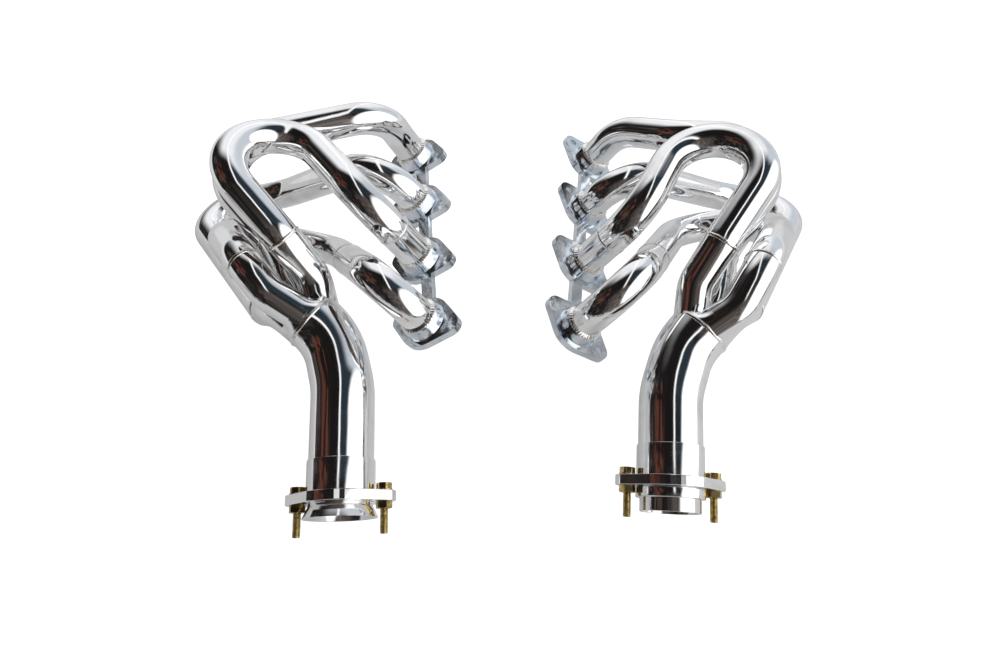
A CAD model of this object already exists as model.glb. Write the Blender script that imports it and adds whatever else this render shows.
import bpy
import numpy as np
from math import radians
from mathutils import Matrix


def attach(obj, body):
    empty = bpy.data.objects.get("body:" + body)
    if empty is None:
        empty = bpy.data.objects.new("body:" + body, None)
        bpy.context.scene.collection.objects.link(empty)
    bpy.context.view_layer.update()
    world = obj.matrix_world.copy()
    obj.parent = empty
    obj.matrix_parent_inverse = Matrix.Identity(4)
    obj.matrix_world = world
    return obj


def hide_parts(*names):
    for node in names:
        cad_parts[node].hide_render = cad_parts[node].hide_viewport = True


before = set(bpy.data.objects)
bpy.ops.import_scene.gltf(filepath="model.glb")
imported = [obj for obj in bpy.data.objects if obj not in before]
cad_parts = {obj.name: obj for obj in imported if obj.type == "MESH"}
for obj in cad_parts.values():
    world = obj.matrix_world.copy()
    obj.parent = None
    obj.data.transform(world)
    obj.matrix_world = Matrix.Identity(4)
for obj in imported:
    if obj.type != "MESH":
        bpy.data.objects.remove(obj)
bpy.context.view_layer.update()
print("frame loaded")

mm = 0.001
stand = np.array([-3.8, -10.4, 0.0])  # the pair's common bottom centre among the route points

# routes in millimetres; the right-hand header is written mirrored, like a left-hand one
leftRoutes = {
    "side": "left", "mirror": 1,
    "port": (-101, -84, 135), "row": (-10, 99, -5), "outward": (-50, -1, 87),
    "firstCorners": ((27, 71), (79, 62), (103, 72), (79, 52)),
    "corners": (((-164, 220, 207, 65), (-406, 145, 202, 59), (-295, 28, 148, 70)),
                ((-339, 239, 42, 70), (-496, 230, 7, 51), (-303, -44, 97, 60)),
                ((-309, 215, 223, 57), (-341, 56, 253, 58), (-263, -15, 198, 70)),
                ((-282, 194, -30, 54), (-383, 69, 123, 75), (-314, -33, 176, 70))),
    "lastCorners": ((-267, -46, 118), (-278, -65, 126), (-235, -28, 146), (-283, -66, 157)),
    "exit": (-233, -79, 116), "flow": (76, -54, -36), "across": (-44, -83, 33), "up": (48, 10, 87),
    "outletStart": (32, 90), "outletCorner": (-190, -160, 91, 110), "outlet": (-184, -285, 49),
    "restTurn": -5, "seams": ((3, 0, 72), (4, 1, 183)),
}
rightRoutes = {
    "side": "right", "mirror": -1,
    "port": (-109, -65, 98), "row": (-12, 99, -1), "outward": (-52, -5, 86),
    "firstCorners": ((57, 78), (75, 56), (109, 66), (100, 59)),
    "corners": (((-251, 199, 184, 71), (-412, 177, 197, 66), (-285, 13, 138, 70)),
                ((-358, 255, 21, 69), (-474, 222, 26, 60), (-320, -42, 99, 70)),
                ((-292, 248, 231, 61), (-333, 67, 232, 51), (-272, -10, 186, 70)),
                ((-318, 270, -38, 54), (-377, 66, 132, 70), (-322, -36, 183, 70))),
    "lastCorners": ((-277, -54, 121), (-290, -71, 121), (-243, -45, 149), (-289, -86, 152)),
    "exit": (-249, -91, 113), "flow": (68, -62, -40), "across": (-60, -78, 18), "up": (42, -12, 90),
    "outletStart": (31, 90), "outletCorner": (-207, -166, 85, 110), "outlet": (-200, -265, 47),
    "restTurn": -3, "seams": ((3, 0, 72), (4, 1, 110)),
}
tubeSizes = {"radius": 22.225, "wall": 1.65, "pitch": 111.76, "plate": 9.5, "collar": 14, "pipeRadius": 38.1,
             "pipeWall": 1.65, "pipeEnd": 20, "legBend": 45, "around": 72, "pipeAround": 112, "lip": 0.4}


def unit(v):
    v = np.asarray(v, float)
    return v / np.linalg.norm(v)


def squareTo(v, n):  # the part of v square to the unit vector n
    v = np.asarray(v, float)
    return unit(v - (v @ n) * n)


def aside(v):
    return np.array([0.0, 0, 1]) if abs(v[2]) < 0.9 else np.array([1.0, 0, 0])


def headerAxes(h):
    row = unit(h["row"])
    outward = squareTo(h["outward"], row)
    flow = unit(h["flow"])
    across = squareTo(h["across"], flow)
    up = np.asarray(h["up"], float)
    up = squareTo(up - (up @ across) * across, flow)
    return row, outward, flow, across, up


def wholeRoute(h, i):  # corner points and bend radii from gasket face to collector exit
    row, outward, flow, across, up = headerAxes(h)
    port = np.asarray(h["port"], float) + (4 - i) * tubeSizes["pitch"] * row
    gasket = port - (tubeSizes["plate"] + tubeSizes["collar"]) * outward
    lift, firstBend = h["firstCorners"][i - 1]
    offset = (tubeSizes["pipeRadius"] - tubeSizes["radius"]) / np.sqrt(2)
    quarter = ((-1, -1), (1, -1), (-1, 1), (1, 1))[i - 1]
    end = np.asarray(h["exit"], float) + offset * (quarter[0] * across + quarter[1] * up)
    middle = h["corners"][i - 1]
    points = [gasket, port + lift * outward] + [np.array(c[:3], float) for c in middle]
    points += [np.array(h["lastCorners"][i - 1], float), end]
    bends = [0, firstBend] + [c[3] for c in middle] + [tubeSizes["legBend"], 0]
    return points, bends


def splitRoute(points, bends, k=4):  # cut in two in the middle of the bend at corner k
    a, b = unit(points[k] - points[k - 1]), unit(points[k + 1] - points[k])
    turn = np.arccos(np.clip(a @ b, -1, 1))
    back = bends[k] * (np.tan(turn / 2) - np.tan(turn / 4))
    ring = points[k] + unit(b - a) * bends[k] * (1 / np.cos(turn / 2) - 1)
    first = (points[:k] + [points[k] - a * back, ring], bends[:k + 1] + [0])
    second = ([ring, points[k] + b * back] + points[k + 1:], [0] + bends[k:k + 2] + [0])
    return first, second, ring, unit(a + b)


def turned(v, axis, angles):  # v turned about axis by each angle, by Rodrigues' formula
    c, s = np.cos(angles)[:, None], np.sin(angles)[:, None]
    return v * c + np.cross(axis, v) * s + axis * (axis @ v) * (1 - c)


# samples along straights and arcs, each with two directions square to the path that turn
# with the bends and never twist
def followRoute(points, bends, step=3.0):
    way = unit(points[1] - points[0])
    side = squareTo(aside(way), way)
    centres, ways, sides = [points[0][None]], [way[None]], [side[None]]
    here = points[0]
    for k in range(1, len(points)):
        way = unit(points[k] - points[k - 1])
        take = 0.0
        if k < len(points) - 1:
            after = unit(points[k + 1] - points[k])
            turn = np.arccos(np.clip(way @ after, -1, 1))
            take = bends[k] * np.tan(turn / 2)
        goal = points[k] - take * way
        count = max(1, int((goal - here) @ way / (4 * step)))
        t = np.arange(1, count + 1)[:, None] / count
        centres.append(here + (goal - here) * t)
        ways.append(np.repeat(way[None], count, 0))
        sides.append(np.repeat(side[None], count, 0))
        here = goal
        if take > 0:
            axis = unit(np.cross(way, after))
            hub = goal + bends[k] * squareTo(after, way)
            count = max(6, int(turn * bends[k] / step))
            angles = np.arange(1, count + 1) / count * turn
            centres.append(hub + turned(goal - hub, axis, angles))
            ways.append(turned(way, axis, angles))
            sides.append(turned(side, axis, angles))
            side = sides[-1][-1]
            here = centres[-1][-1]
    return np.concatenate(centres), np.concatenate(ways), np.concatenate(sides)


# grids of points, each closed both ways, become one smooth mesh in metres on the stand;
# a mirrored header is flipped in x and its faces are turned round again
def gridPiece(name, grids, mirror, material, body, replaced, sharp=35):
    allPoints, allFaces, base = [], [], 0
    for grid in grids:
        rows, columns = grid.shape[:2]
        index = np.arange(rows * columns).reshape(rows, columns) + base
        nextRow, nextColumn = np.roll(index, -1, 0), np.roll(index, -1, 1)
        quads = np.stack([index, nextColumn, np.roll(nextRow, -1, 1), nextRow], -1).reshape(-1, 4)
        allFaces.append(quads if mirror > 0 else quads[:, ::-1])
        allPoints.append(grid.reshape(-1, 3))
        base += rows * columns
    points = np.concatenate(allPoints) * (mirror, 1, 1) - stand
    faces = np.concatenate(allFaces)
    mesh = bpy.data.meshes.new(name)
    mesh.vertices.add(len(points))
    mesh.vertices.foreach_set("co", (points * mm).ravel())
    mesh.loops.add(faces.size)
    mesh.loops.foreach_set("vertex_index", faces.ravel())
    mesh.polygons.add(len(faces))
    mesh.polygons.foreach_set("loop_start", np.arange(0, faces.size, 4))
    mesh.update(calc_edges=True)
    mesh.validate()
    mesh.shade_smooth()
    mesh.set_sharp_from_angle(angle=radians(sharp))
    mesh.materials.append(material)
    piece = bpy.data.objects.new(name, mesh)
    bpy.context.scene.collection.objects.link(piece)
    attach(piece, body)
    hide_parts(replaced)


# points round an axis or path: origin + way * height + (side * cos + third * sin) * radius
def ringPoints(origin, way, side, third, angle, height, radius):
    ring = side * np.cos(angle)[None, :, None] + third * np.sin(angle)[None, :, None]
    return (origin + way * height[..., None] + ring * radius[..., None])[::-1]


# a hollow tube: rings of points round the path, outside going up and inside coming back,
# with a small eased lip at each end
def tubeGrid(path, outer, inner, around=tubeSizes["around"]):
    centres, ways, sides = path
    n = len(centres)
    lip = min(tubeSizes["lip"], (outer - inner) / 3)
    order = np.concatenate([[0, 0], np.arange(n), [-1, -1], [-1, -1], np.arange(n)[::-1], [0, 0]])
    radius = np.concatenate([[inner + 2 * lip, outer - lip], np.full(n, outer), [outer - lip, inner + 2 * lip],
                             [inner + lip, inner + lip], np.full(n, inner), [inner + lip, inner + lip]])
    shift = np.zeros(len(order))
    shift[[2, n + 1, n + 6, 2 * n + 5]] = lip, -lip, -lip, lip
    angle = np.linspace(0, 2 * np.pi, around, endpoint=False)
    along = (k[order][:, None] for k in (centres, ways, sides, np.cross(ways, sides)))
    return ringPoints(*along, angle, shift[:, None], radius[:, None])


# a turned piece: a closed profile of (height, radius) pairs carried round an axis, where
# shape(height, radius, angle) may change it with the angle
def turnedGrid(origin, way, side, profile, around=96, shape=None):
    profile = np.asarray(profile, float)
    angle = np.linspace(0, 2 * np.pi, around, endpoint=False)
    height = np.repeat(profile[:, :1], around, 1)
    radius = np.repeat(profile[:, 1:2], around, 1)
    if shape:
        height, radius = shape(height, radius, angle[None, :])
    return ringPoints(origin, way, side, np.cross(way, side), angle, height, radius)


# rounds each corner of a closed profile: p becomes the curve (1-t)^2 a + 2t(1-t) p + t^2 b,
# from a to b at the given distance before and after it
def softened(profile, size, steps=4):
    p = np.asarray(profile, float)
    before, after = np.roll(p, 1, 0) - p, np.roll(p, -1, 0) - p
    beforeLength, afterLength = np.linalg.norm(before, axis=1), np.linalg.norm(after, axis=1)
    cut = np.minimum(size, 0.45 * np.minimum(beforeLength, afterLength))[:, None]
    a, b = p + before / beforeLength[:, None] * cut, p + after / afterLength[:, None] * cut
    t = np.linspace(0, 1, steps)[None, :, None]
    curve = (1 - t) ** 2 * a[:, None] + 2 * t * (1 - t) * p[:, None] + t ** 2 * b[:, None]
    return curve.reshape(-1, 2)


def newMaterial(name, color, metallic, roughness):
    material = bpy.data.materials.new(name)
    material.use_nodes = True
    shader = material.node_tree.nodes["Principled BSDF"]
    shader.inputs["Base Color"].default_value = (*color, 1)
    shader.inputs["Metallic"].default_value = metallic
    shader.inputs["Roughness"].default_value = roughness
    return material, material.node_tree.nodes, material.node_tree.links, shader


def noiseNode(nodes, links, scale, detail=3.0, roughness=0.5, stretch=(1, 1, 1)):
    place = nodes.new("ShaderNodeTexCoord")
    mapping = nodes.new("ShaderNodeMapping")
    mapping.inputs["Scale"].default_value = stretch
    noise = nodes.new("ShaderNodeTexNoise")
    noise.inputs["Scale"].default_value = scale
    noise.inputs["Detail"].default_value = detail
    noise.inputs["Roughness"].default_value = roughness
    links.new(place.outputs["Object"], mapping.inputs["Vector"])
    links.new(mapping.outputs["Vector"], noise.inputs["Vector"])
    return noise


def rampNode(nodes, links, source, stops):
    ramp = nodes.new("ShaderNodeValToRGB")
    while len(ramp.color_ramp.elements) < len(stops):
        ramp.color_ramp.elements.new(0.5)
    for element, (position, color) in zip(ramp.color_ramp.elements, stops):
        element.position = position
        element.color = (*color, 1)
    links.new(source, ramp.inputs["Fac"])
    return ramp


def rangeNode(nodes, links, source, low, high):  # noise lies mostly between 0.3 and 0.7
    spread = nodes.new("ShaderNodeMapRange")
    spread.inputs["From Min"].default_value = 0.3
    spread.inputs["From Max"].default_value = 0.7
    spread.inputs["To Min"].default_value = low
    spread.inputs["To Max"].default_value = high
    links.new(source, spread.inputs["Value"])
    return spread


def bumpNode(nodes, links, source, strength, distance, before=None):
    bump = nodes.new("ShaderNodeBump")
    bump.inputs["Strength"].default_value = strength
    bump.inputs["Distance"].default_value = distance
    links.new(source, bump.inputs["Height"])
    if before:
        links.new(before.outputs["Normal"], bump.inputs["Normal"])
    return bump


polish = {"color": (0.93, 0.93, 0.935), "smoke": (0.80, 0.79, 0.78), "smokeScale": 14,
          "roughness": (0.05, 0.11), "markScale": 60, "wave": 22.0, "waveStrength": 0.35,
          "waveDepth": 0.0009, "grain": 900.0, "grainStrength": 0.12, "grainDepth": 0.00002}


# mirror finish with slow waviness and fine wipe marks
def polishedSteel(name, tint=(1, 1, 1), rougher=0.0):
    color = [c * t for c, t in zip(polish["color"], tint)]
    smoke = [c * t for c, t in zip(polish["smoke"], tint)]
    material, nodes, links, shader = newMaterial(name, color, 1.0, polish["roughness"][0])
    cloud = noiseNode(nodes, links, polish["smokeScale"], 4, 0.6)
    colors = rampNode(nodes, links, cloud.outputs["Fac"], ((0.32, smoke), (0.5, color), (1.0, color)))
    links.new(colors.outputs["Color"], shader.inputs["Base Color"])
    marks = noiseNode(nodes, links, polish["markScale"], 6, 0.65, (1, 1, 3))
    low, high = polish["roughness"]
    rough = rangeNode(nodes, links, marks.outputs["Fac"], low + rougher, high + rougher)
    links.new(rough.outputs["Result"], shader.inputs["Roughness"])
    wave = noiseNode(nodes, links, polish["wave"], 2, 0.4)
    grain = noiseNode(nodes, links, polish["grain"], 2, 0.5, (1, 1, 4))
    slow = bumpNode(nodes, links, wave.outputs["Fac"], polish["waveStrength"], polish["waveDepth"])
    fine = bumpNode(nodes, links, grain.outputs["Fac"], polish["grainStrength"], polish["grainDepth"], slow)
    links.new(fine.outputs["Normal"], shader.inputs["Normal"])
    return material


# bluish bright satin; bright bead with straw and brown heat tint; yellow zinc, paler where worn
castFinish = {"stops": ((0.3, (0.50, 0.56, 0.62)), (0.5, (0.74, 0.79, 0.84)), (0.75, (0.90, 0.92, 0.94))),
              "cloud": (35, 5), "roughness": (0.06, 0.15), "skin": (160, 4), "skinStrength": 0.3,
              "skinDepth": 0.0006}
weldFinish = {"stops": ((0.28, (0.46, 0.36, 0.28)), (0.40, (0.80, 0.74, 0.64)), (0.52, (0.93, 0.92, 0.90))),
              "cloud": (120, 4), "roughness": (0.30, 0.14), "skin": (420, 3), "skinStrength": 0.4,
              "skinDepth": 0.0004}
zincFinish = {"stops": ((0.3, (0.30, 0.23, 0.08)), (0.5, (0.58, 0.44, 0.18)), (0.7, (0.80, 0.70, 0.44))),
              "cloud": (220, 4), "roughness": (0.28, 0.12), "skin": (900, 3), "skinStrength": 0.25,
              "skinDepth": 0.0002}


def mottledMetal(name, finish):  # one cloud sets colour and roughness, a finer noise the skin
    material, nodes, links, shader = newMaterial(name, finish["stops"][1][1], 1.0, finish["roughness"][0])
    cloud = noiseNode(nodes, links, *finish["cloud"], 0.6)
    colors = rampNode(nodes, links, cloud.outputs["Fac"], finish["stops"])
    links.new(colors.outputs["Color"], shader.inputs["Base Color"])
    rough = rangeNode(nodes, links, cloud.outputs["Fac"], *finish["roughness"])
    links.new(rough.outputs["Result"], shader.inputs["Roughness"])
    skin = noiseNode(nodes, links, *finish["skin"], 0.6)
    bump = bumpNode(nodes, links, skin.outputs["Fac"], finish["skinStrength"], finish["skinDepth"])
    links.new(bump.outputs["Normal"], shader.inputs["Normal"])
    return material


tubeSteel = polishedSteel("tubeSteel")
collectorSteel = polishedSteel("collectorSteel", (0.99, 0.985, 0.98), 0.01)
jointSteel = polishedSteel("jointSteel", (0.97, 0.97, 0.97), 0.03)
flangeMetal = mottledMetal("flangeMetal", castFinish)
weldBead = mottledMetal("weldBead", weldFinish)
boltZinc = mottledMetal("boltZinc", zincFinish)
print("materials made")


beadSizes = {"width": 5.0, "height": 1.3, "seamWidth": 4.0, "seamHeight": 0.7, "sunk": 0.25,
             "ripples": 44, "ripple": 0.12, "lean": 0.35, "portRipples": 40, "portRipple": 0.5}
portFillet = ((0.0, -0.3), (-0.2, 3.6), (0.9, 3.4), (2.0, 2.2), (3.2, 1.0), (4.0, -0.1), (4.0, -0.3))


def beadProfile(radius, width, height):  # a flattened half round standing on the tube
    sunk = beadSizes["sunk"]
    t = np.linspace(0, np.pi, 9)
    top = np.stack([-np.cos(t) * width / 2, radius - sunk + (height + sunk) * np.sin(t) ** 0.8], 1)
    return np.concatenate([top, [[width / 4, radius - 0.3], [-width / 4, radius - 0.3]]])


def rippled(count, depth):  # stacked scallops that lean along a seam which wanders a little
    def shape(height, radius, angle):
        wave = np.abs(np.sin(count * angle / 2 + height * beadSizes["lean"]))
        return height + 0.25 * np.sin(3 * angle) + 0.1 * np.sin(11 * angle), radius + depth * (wave - 0.5)
    return shape


def beadGrid(centre, way, radius, width, height, around=352):
    return turnedGrid(centre, way, squareTo(aside(way), way), beadProfile(radius, width, height),
                      around, rippled(beadSizes["ripples"] * radius / 22, beadSizes["ripple"]))


neckSizes = {"length": 20, "rings": 26, "around": 144, "proud": 0.15, "wall": 1.6, "fillet": 1.6,
             "legStop": 8, "legProud": 0.1}


# farthest reach of the four legs at each angle, seen along the exit axis: where a ray meets
# each leg's circle, joined by a soft maximum so that the seams are filleted
def exitOutline(h, angle, back):
    row, outward, flow, across, up = headerAxes(h)
    reach = []
    for i in (1, 2, 3, 4):
        points, bends = wholeRoute(h, i)
        way = unit(points[-1] - points[-2])
        centre = points[-1] - way * back - h["exit"]
        x, y = centre @ across, centre @ up
        along = x * np.cos(angle) + y * np.sin(angle)
        off = x * np.sin(angle) - y * np.cos(angle)
        reach.append(along + np.sqrt(np.maximum(tubeSizes["radius"] ** 2 - off ** 2, 0)))
    fillet = neckSizes["fillet"]
    return np.log(np.exp(np.array(reach) / fillet).sum(0)) * fillet


# the neck goes smoothly from the four-lobed outline of the legs to the round pipe
def neckGrid(h):
    row, outward, flow, across, up = headerAxes(h)
    length, wall = neckSizes["length"], neckSizes["wall"]
    angle = np.linspace(0, 2 * np.pi, neckSizes["around"], endpoint=False)
    lobes = exitOutline(h, angle, length) + neckSizes["proud"]
    t = np.linspace(0, 1, neckSizes["rings"])[:, None]
    ease = t * t * (3 - 2 * t)
    radius = lobes[None] * (1 - ease) + tubeSizes["pipeRadius"] * ease
    radius = np.concatenate([radius, radius[-1:] - wall, radius[::-1] - wall])
    height = np.concatenate([(t - 1) * length, [[0]], ((t - 1) * length)[::-1]])
    return ringPoints(h["exit"], flow, across, up, angle, height, radius)


for h in (leftRoutes, rightRoutes):
    side, mirror = h["side"], h["mirror"]
    row, outward, flow, across, up = headerAxes(h)
    outer, inner = tubeSizes["radius"], tubeSizes["radius"] - tubeSizes["wall"]
    pipeOuter, pipeInner = tubeSizes["pipeRadius"], tubeSizes["pipeRadius"] - tubeSizes["pipeWall"]
    beads, ports, seams = [], [], []
    for i in (1, 2, 3, 4):
        points, bends = wholeRoute(h, i)
        (tubePoints, tubeBends), (legPoints, legBends), ring, ringWay = splitRoute(points, bends)
        gridPiece(f"{side}Tube{i}", [tubeGrid(followRoute(tubePoints, tubeBends), outer, inner)],
                  mirror, tubeSteel, "headers", f"{side}_primary_tube_{i}")
        legWay = unit(legPoints[-1] - legPoints[-2])
        legPoints[-1] = legPoints[-1] - neckSizes["legStop"] * legWay  # the leg stops inside the neck
        leg = tubeGrid(followRoute(legPoints, legBends), outer + neckSizes["legProud"], inner)
        gridPiece(f"{side}Leg{i}", [leg], mirror, collectorSteel, "headers",
                  f"{side}_collector_leg_{i}")
        beads.append(beadGrid(ring, ringWay, outer, beadSizes["width"], beadSizes["height"]))
        top = points[0] + (tubeSizes["plate"] + tubeSizes["collar"]) * outward
        fillet = [(height, outer + proud) for height, proud in portFillet]
        ports.append(turnedGrid(top, outward, row, fillet, 300,
                                rippled(beadSizes["portRipples"], beadSizes["portRipple"])))
    gridPiece(f"{side}CollectorWelds", beads, mirror, weldBead, "headers",
              f"{side}_collector_weld_beads")
    gridPiece(f"{side}PortWelds", ports, mirror, weldBead, "headers", f"{side}_port_weld_beads")
    for tube, corner, distance in h["seams"]:
        points, bends = wholeRoute(h, tube)
        way = unit(points[corner + 1] - points[corner])
        seams.append(beadGrid(points[corner] + distance * way, way, outer,
                              beadSizes["seamWidth"], beadSizes["seamHeight"]))
    gridPiece(f"{side}TubeSeams", seams, mirror, tubeSteel, "headers", f"{side}_tube_seam_beads")
    gridPiece(f"{side}Neck", [neckGrid(h)], mirror, collectorSteel, "headers",
              f"{side}_collector_neck")
    exitPoint = np.array(h["exit"], float)
    exitBead = beadGrid(exitPoint, flow, pipeOuter, beadSizes["width"], beadSizes["height"])
    gridPiece(f"{side}ExitWeld", [exitBead], mirror, weldBead, "headers", f"{side}_exit_weld_bead")
    corner = np.array(h["outletCorner"][:3], float)
    pipeEnd = h["outlet"] - tubeSizes["pipeEnd"] * unit(h["outlet"] - corner)
    pipePoints = [exitPoint, exitPoint + h["outletStart"][0] * flow, corner, pipeEnd]
    pipeBends = [0, h["outletStart"][1], h["outletCorner"][3], 0]
    pipe = tubeGrid(followRoute(pipePoints, pipeBends), pipeOuter, pipeInner, tubeSizes["pipeAround"])
    gridPiece(f"{side}Pipe", [pipe], mirror, tubeSteel, "headers", f"{side}_outlet_pipe")
    print(side, "tubes made")


# heights along each outlet's flow, from the middle of its loose flange
jointSizes = {"flange": 12, "span": 101.6, "around": 128, "soft": 0.7}
sleeveProfile = ((-43, 38.15), (-43, 39.75), (6.4, 39.75), (6.4, 38.15))
endProfiles = {
    "left": ("left_flared_end", ((-16, 34.5), (-16, 38.0), (6.5, 38.0), (6.5, 36.5), (9.5, 37.0),
                                 (23.0, 43.5), (23.0, 41.5), (9.5, 35.0), (6.5, 34.5))),
    "right": ("right_pilot_end", ((-16, 33.5), (-16, 38.0), (6.5, 38.0), (6.5, 40.4), (18.0, 40.4),
                                  (18.0, 35.5), (34.0, 35.5), (34.0, 33.5))),
}
boltSizes = {"radius": 5.0, "length": 50, "flats": 17, "reach": 9, "chamfer": 1.0, "cone": 1.9, "head": 7,
             "core": 0.3, "around": 96, "soft": 0.3, "washer": 2, "washerBore": 5.1, "washerOuter": 10,
             "gap": 0.02, "nutBore": 5.4}
nutHeights = (0, 0.2, 0.6, 1.2, 4, 6.8, 7.4, 7.8, 8)
threadSizes = {"pitch": 1.5, "perPitch": 8, "depth": 0.72, "inset": 0.15, "core": 0.2, "tip": 0.8,
               "tipInset": 1.4, "fade": 1.5, "fadeDepth": 0.5, "around": 40}


def hexShape(height, radius, angle):  # six flats, with the corners turned down to a cone at the ends
    wedge = (angle % (np.pi / 3)) - np.pi / 6
    flat = boltSizes["flats"] / 2 / np.cos(wedge)
    solid = radius > boltSizes["reach"] - 1
    low, high = height[solid].min(), height[solid].max()
    edge = np.clip(np.minimum(height - low, high - height), 0, boltSizes["chamfer"])
    cone = boltSizes["flats"] / 2 + 0.15 + edge * boltSizes["cone"]
    return height, np.where(solid, np.minimum(flat, cone), radius)


def threadGrid(origin, way, side, start, end, hand):  # the crest climbs one pitch in each turn
    crest, pitch = boltSizes["radius"] - threadSizes["inset"], threadSizes["pitch"]
    steps = int((end - start) / pitch * threadSizes["perPitch"])
    core, tip = threadSizes["core"], end + threadSizes["tip"]
    heights = np.concatenate([[start], np.linspace(start, end, steps), [tip, tip, start]])
    radii = np.concatenate([[core], np.full(steps, crest),
                            [boltSizes["radius"] - threadSizes["tipInset"], core, core]])

    def shape(height, radius, angle):
        depth = np.abs(((height / pitch - hand * angle / (2 * np.pi)) % 1) - 0.5) * 2
        fade = np.clip((end - height) / threadSizes["fade"], 0, 1)
        cut = threadSizes["depth"] * depth * fade + threadSizes["fadeDepth"] * (1 - fade)
        return height, np.where(radius > crest - threadSizes["inset"], radius - cut, radius)
    return turnedGrid(origin, way, side, np.stack([heights, radii], 1), threadSizes["around"], shape)


for h in (leftRoutes, rightRoutes):
    side, mirror = h["side"], h["mirror"]
    centre = np.array(h["outlet"], float)
    way = unit(centre - np.array(h["outletCorner"][:3], float))
    level = unit(np.cross([0, 0, 1], way))
    lift = np.cross(way, level)
    turn = radians(h["restTurn"])
    ear = -level * np.cos(turn) + lift * np.sin(turn)
    sleeve = turnedGrid(centre, way, ear, softened(sleeveProfile, 0.5), jointSizes["around"])
    gridPiece(f"{side}Sleeve", [sleeve], mirror, jointSteel, "headers",
              f"{side}_outlet_sleeve")
    ended, endProfile = endProfiles[side]
    end = turnedGrid(centre, way, ear, softened(endProfile, jointSizes["soft"]), jointSizes["around"])
    gridPiece(f"{side}End", [end], mirror, jointSteel, "headers", ended)
    under = -jointSizes["flange"] / 2 - boltSizes["washer"]
    base = jointSizes["flange"] / 2
    top, reach, core = under - boltSizes["head"], boltSizes["reach"], boltSizes["core"]
    headProfile = softened([(top, reach), (under, reach), (under, core), (top, core)], boltSizes["soft"])
    low, high = under + boltSizes["gap"], under + boltSizes["washer"] - boltSizes["gap"]
    inside, outside = boltSizes["washerBore"], boltSizes["washerOuter"]
    washerProfile = softened([(low, inside), (low, outside), (high, outside), (high, inside)],
                             boltSizes["soft"])
    nutProfile = [(base + k, reach) for k in nutHeights]
    nutProfile += [(base + nutHeights[-1], boltSizes["nutBore"]), (base, boltSizes["nutBore"])]
    bolts, washers, nuts = [], [], []
    for sign in (-1, 1):
        foot = centre + ear * sign * jointSizes["span"] / 2
        threadEnd = under + boltSizes["length"] - threadSizes["tip"]
        bolts.append(turnedGrid(foot, way, ear, headProfile, boltSizes["around"], hexShape))
        bolts.append(threadGrid(foot, way, ear, under, threadEnd, mirror))
        washers.append(turnedGrid(foot, way, ear, washerProfile, 64))
        nuts.append(turnedGrid(foot, way, ear, nutProfile, boltSizes["around"], hexShape))
    body = f"{side}_loose_joint"
    gridPiece(f"{side}Bolts", bolts, mirror, boltZinc, body, f"{side}_outlet_bolts")
    gridPiece(f"{side}Washers", washers, mirror, boltZinc, body, f"{side}_outlet_washers")
    gridPiece(f"{side}Nuts", nuts, mirror, boltZinc, body, f"{side}_outlet_nuts")
    print(side, "outlet joint made")


def easeEdges(node, material, width):
    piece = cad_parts[node]
    for slotPlace in piece.material_slots:
        slotPlace.material = material
    weld = piece.modifiers.new("join", "WELD")
    weld.merge_threshold = 0.00002
    bevel = piece.modifiers.new("ease", "BEVEL")
    bevel.width = width
    bevel.segments = 3
    bevel.limit_method = "ANGLE"
    bevel.angle_limit = radians(30)
    bevel.harden_normals = False


for side in ("left", "right"):
    easeEdges(f"{side}_head_flange", flangeMetal, 0.0012)
    easeEdges(f"{side}_loose_flange", jointSteel, 0.0010)
print("flanges finished")


studio = {"dark": (0.010, 0.009, 0.009), "redWay": (-0.77, -0.02, 0.64), "windowWay": (0.92, -0.30, 0.24),
          "floorSeen": 1.0, "floorReflected": 0.24, "floorHalf": 1.1, "floorDrop": 0.0004,
          "belowFront": (0.06, 0.052, 0.048), "belowSides": (0.72, 0.72, 0.73)}
# each light or surface of the room, laid over the ones before it: its colour, and the bands it
# shows in, rising smoothly from 0 at the first number to 1 at the second
studioLayers = (
    ("furniture", (0.10, 0.085, 0.075), (("streaks", 0.50, 0.68), ("z", 0.95, 0.55))),
    ("redSpot", (0.13, 0.045, 0.032), (("redWay", 0.945, 0.99), ("streaks", 0.44, 0.56))),
    ("blueDark", (0.022, 0.034, 0.046), (("x", 0.04, 0.14), ("y", -0.30, -0.10))),
    ("frontGrey", (0.19, 0.165, 0.15), (("y", -0.22, -0.60), ("x", -0.60, 0.25), ("streaks", 0.30, 0.62))),
    ("backWhite", (0.92, 0.93, 0.95), (("y", 0.36, 0.66), ("x", -0.72, -0.30))),
    ("backRight", (0.58, 0.63, 0.69), (("y", 0.25, 0.50), ("x", 0.25, 0.55))),
    ("strip", (1.1, 1.1, 1.1), (("x", -0.05, 0.0), ("x", 0.09, 0.05), ("y", -0.45, -0.25))),
    ("window", (1.45, 1.45, 1.45), (("windowWay", 0.62, 0.74),)),
)
cameraSizes = {"lens": 26.25, "sensor": 36, "place": (0.0038, -0.6296, 0.836), "tilt": 37.02}


# white behind the object, greyer in its reflections
def seenAndReflected(nodes, links, seen, reflected):
    path = nodes.new("ShaderNodeLightPath")
    mix = nodes.new("ShaderNodeMapRange")
    mix.inputs["To Min"].default_value = reflected
    mix.inputs["To Max"].default_value = seen
    links.new(path.outputs["Is Camera Ray"], mix.inputs["Value"])
    return mix.outputs["Result"]


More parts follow.
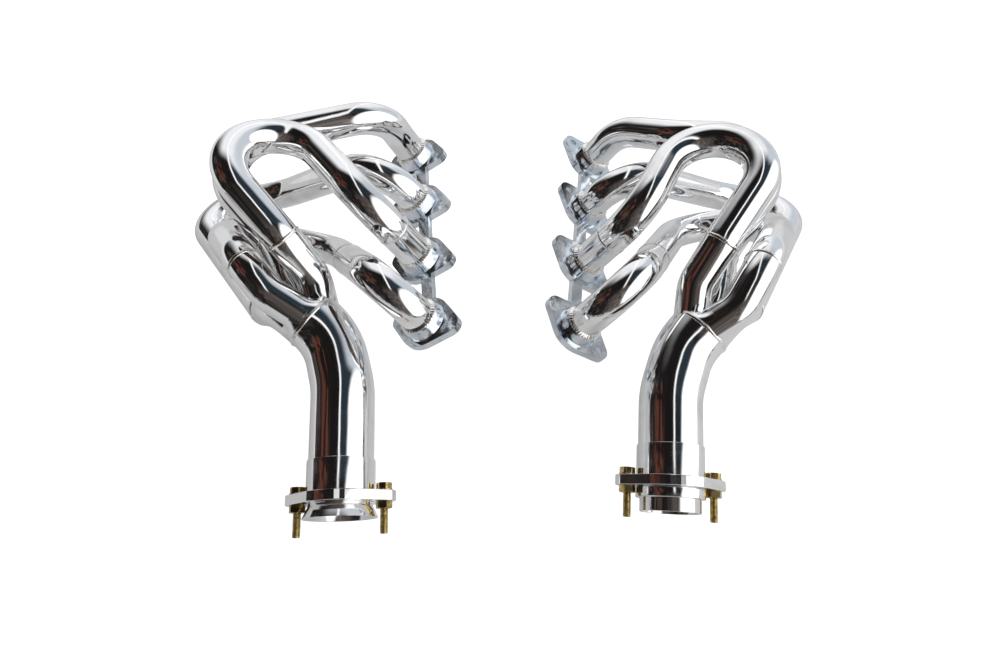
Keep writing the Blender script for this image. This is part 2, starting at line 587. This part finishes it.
def makeFloor():
    size = studio["floorHalf"]
    mesh = bpy.data.meshes.new("floor")
    z = -studio["floorDrop"]
    corners = [(-size, -size, z), (size, -size, z), (size, size, z), (-size, size, z)]
    mesh.from_pydata(corners, [], [(0, 1, 2, 3)])
    floor = bpy.data.objects.new("floor", mesh)
    bpy.context.scene.collection.objects.link(floor)
    material, nodes, links, shader = newMaterial("paleFloor", (0.72, 0.72, 0.72), 0.0, 0.7)
    cloud = noiseNode(nodes, links, 5, 3)
    tone = rampNode(nodes, links, cloud.outputs["Fac"], ((0.35, (0.96, 0.96, 0.965)), (0.65, (1.0, 1.0, 1.0))))
    links.new(tone.outputs["Color"], shader.inputs["Emission Color"])
    strength = seenAndReflected(nodes, links, studio["floorSeen"], studio["floorReflected"])
    links.new(strength, shader.inputs["Emission Strength"])
    mesh.materials.append(material)


def makeStudio():
    world = bpy.data.worlds.new("studio")
    bpy.context.scene.world = world
    world.use_nodes = True
    nodes, links = world.node_tree.nodes, world.node_tree.links
    background = nodes["Background"]
    place = nodes.new("ShaderNodeTexCoord")
    parts = nodes.new("ShaderNodeSeparateXYZ")
    links.new(place.outputs["Generated"], parts.inputs["Vector"])

    def band(source, low, high):  # smooth step, falling where low is the larger
        node = nodes.new("ShaderNodeMapRange")
        node.interpolation_type = "SMOOTHSTEP"
        flip = low > high
        node.inputs["From Min"].default_value = min(low, high)
        node.inputs["From Max"].default_value = max(low, high)
        node.inputs["To Min"].default_value = float(flip)
        node.inputs["To Max"].default_value = float(not flip)
        links.new(source, node.inputs["Value"])
        return node.outputs["Result"]

    def product(first, *others):
        for other in others:
            node = nodes.new("ShaderNodeMath")
            node.operation = "MULTIPLY"
            links.new(first, node.inputs[0])
            links.new(other, node.inputs[1])
            first = node.outputs["Value"]
        return first

    def mixed(amount, first, second):
        node = nodes.new("ShaderNodeMix")
        node.data_type = "RGBA"
        links.new(amount, node.inputs["Factor"])
        for source, name in ((first, "A"), (second, "B")):
            socket = [k for k in node.inputs if k.name == name and k.type == "RGBA"][0]
            if isinstance(source, tuple):
                socket.default_value = (*source, 1)
            else:
                links.new(source, socket)
        return [k for k in node.outputs if k.type == "RGBA"][0]

    def facing(way):  # cosine of the angle from a direction
        node = nodes.new("ShaderNodeVectorMath")
        node.operation = "DOT_PRODUCT"
        node.inputs[1].default_value = way
        links.new(place.outputs["Generated"], node.inputs[0])
        return node.outputs["Value"]

    clutter = nodes.new("ShaderNodeTexNoise")  # the room's furniture, as soft streaks
    clutter.inputs["Scale"].default_value = 7
    clutter.inputs["Detail"].default_value = 5
    clutter.inputs["Roughness"].default_value = 0.65
    stretch = nodes.new("ShaderNodeMapping")
    stretch.inputs["Scale"].default_value = (1.6, 0.6, 1.0)
    links.new(place.outputs["Generated"], stretch.inputs["Vector"])
    links.new(stretch.outputs["Vector"], clutter.inputs["Vector"])
    sources = {"x": parts.outputs["X"], "y": parts.outputs["Y"], "z": parts.outputs["Z"],
               "streaks": clutter.outputs["Fac"], "redWay": facing(studio["redWay"]),
               "windowWay": facing(studio["windowWay"])}
    color = studio["dark"]
    for layer, layerColor, bands in studioLayers:
        color = mixed(product(*(band(sources[k], low, high) for k, low, high in bands)), color, layerColor)
    front = product(band(sources["y"], 0.15, -0.35), band(sources["streaks"], 0.35, 0.6))
    below = mixed(front, studio["belowSides"], studio["belowFront"])
    color = mixed(band(sources["z"], 0.0, -0.03), color, below)
    seen = nodes.new("ShaderNodeLightPath")
    color = mixed(seen.outputs["Is Camera Ray"], color, (1.0, 1.0, 1.0))
    links.new(color, background.inputs["Color"])


def makeCamera():
    camera = bpy.data.cameras.new("camera")
    camera.lens = cameraSizes["lens"]
    camera.sensor_width = cameraSizes["sensor"]
    holder = bpy.data.objects.new("camera", camera)
    bpy.context.scene.collection.objects.link(holder)
    holder.location = cameraSizes["place"]
    holder.rotation_euler = (radians(cameraSizes["tilt"]), 0, 0)
    bpy.context.scene.camera = holder


makeFloor()
makeStudio()
makeCamera()
bpy.context.scene.view_settings.view_transform = "Standard"
print("studio ready")
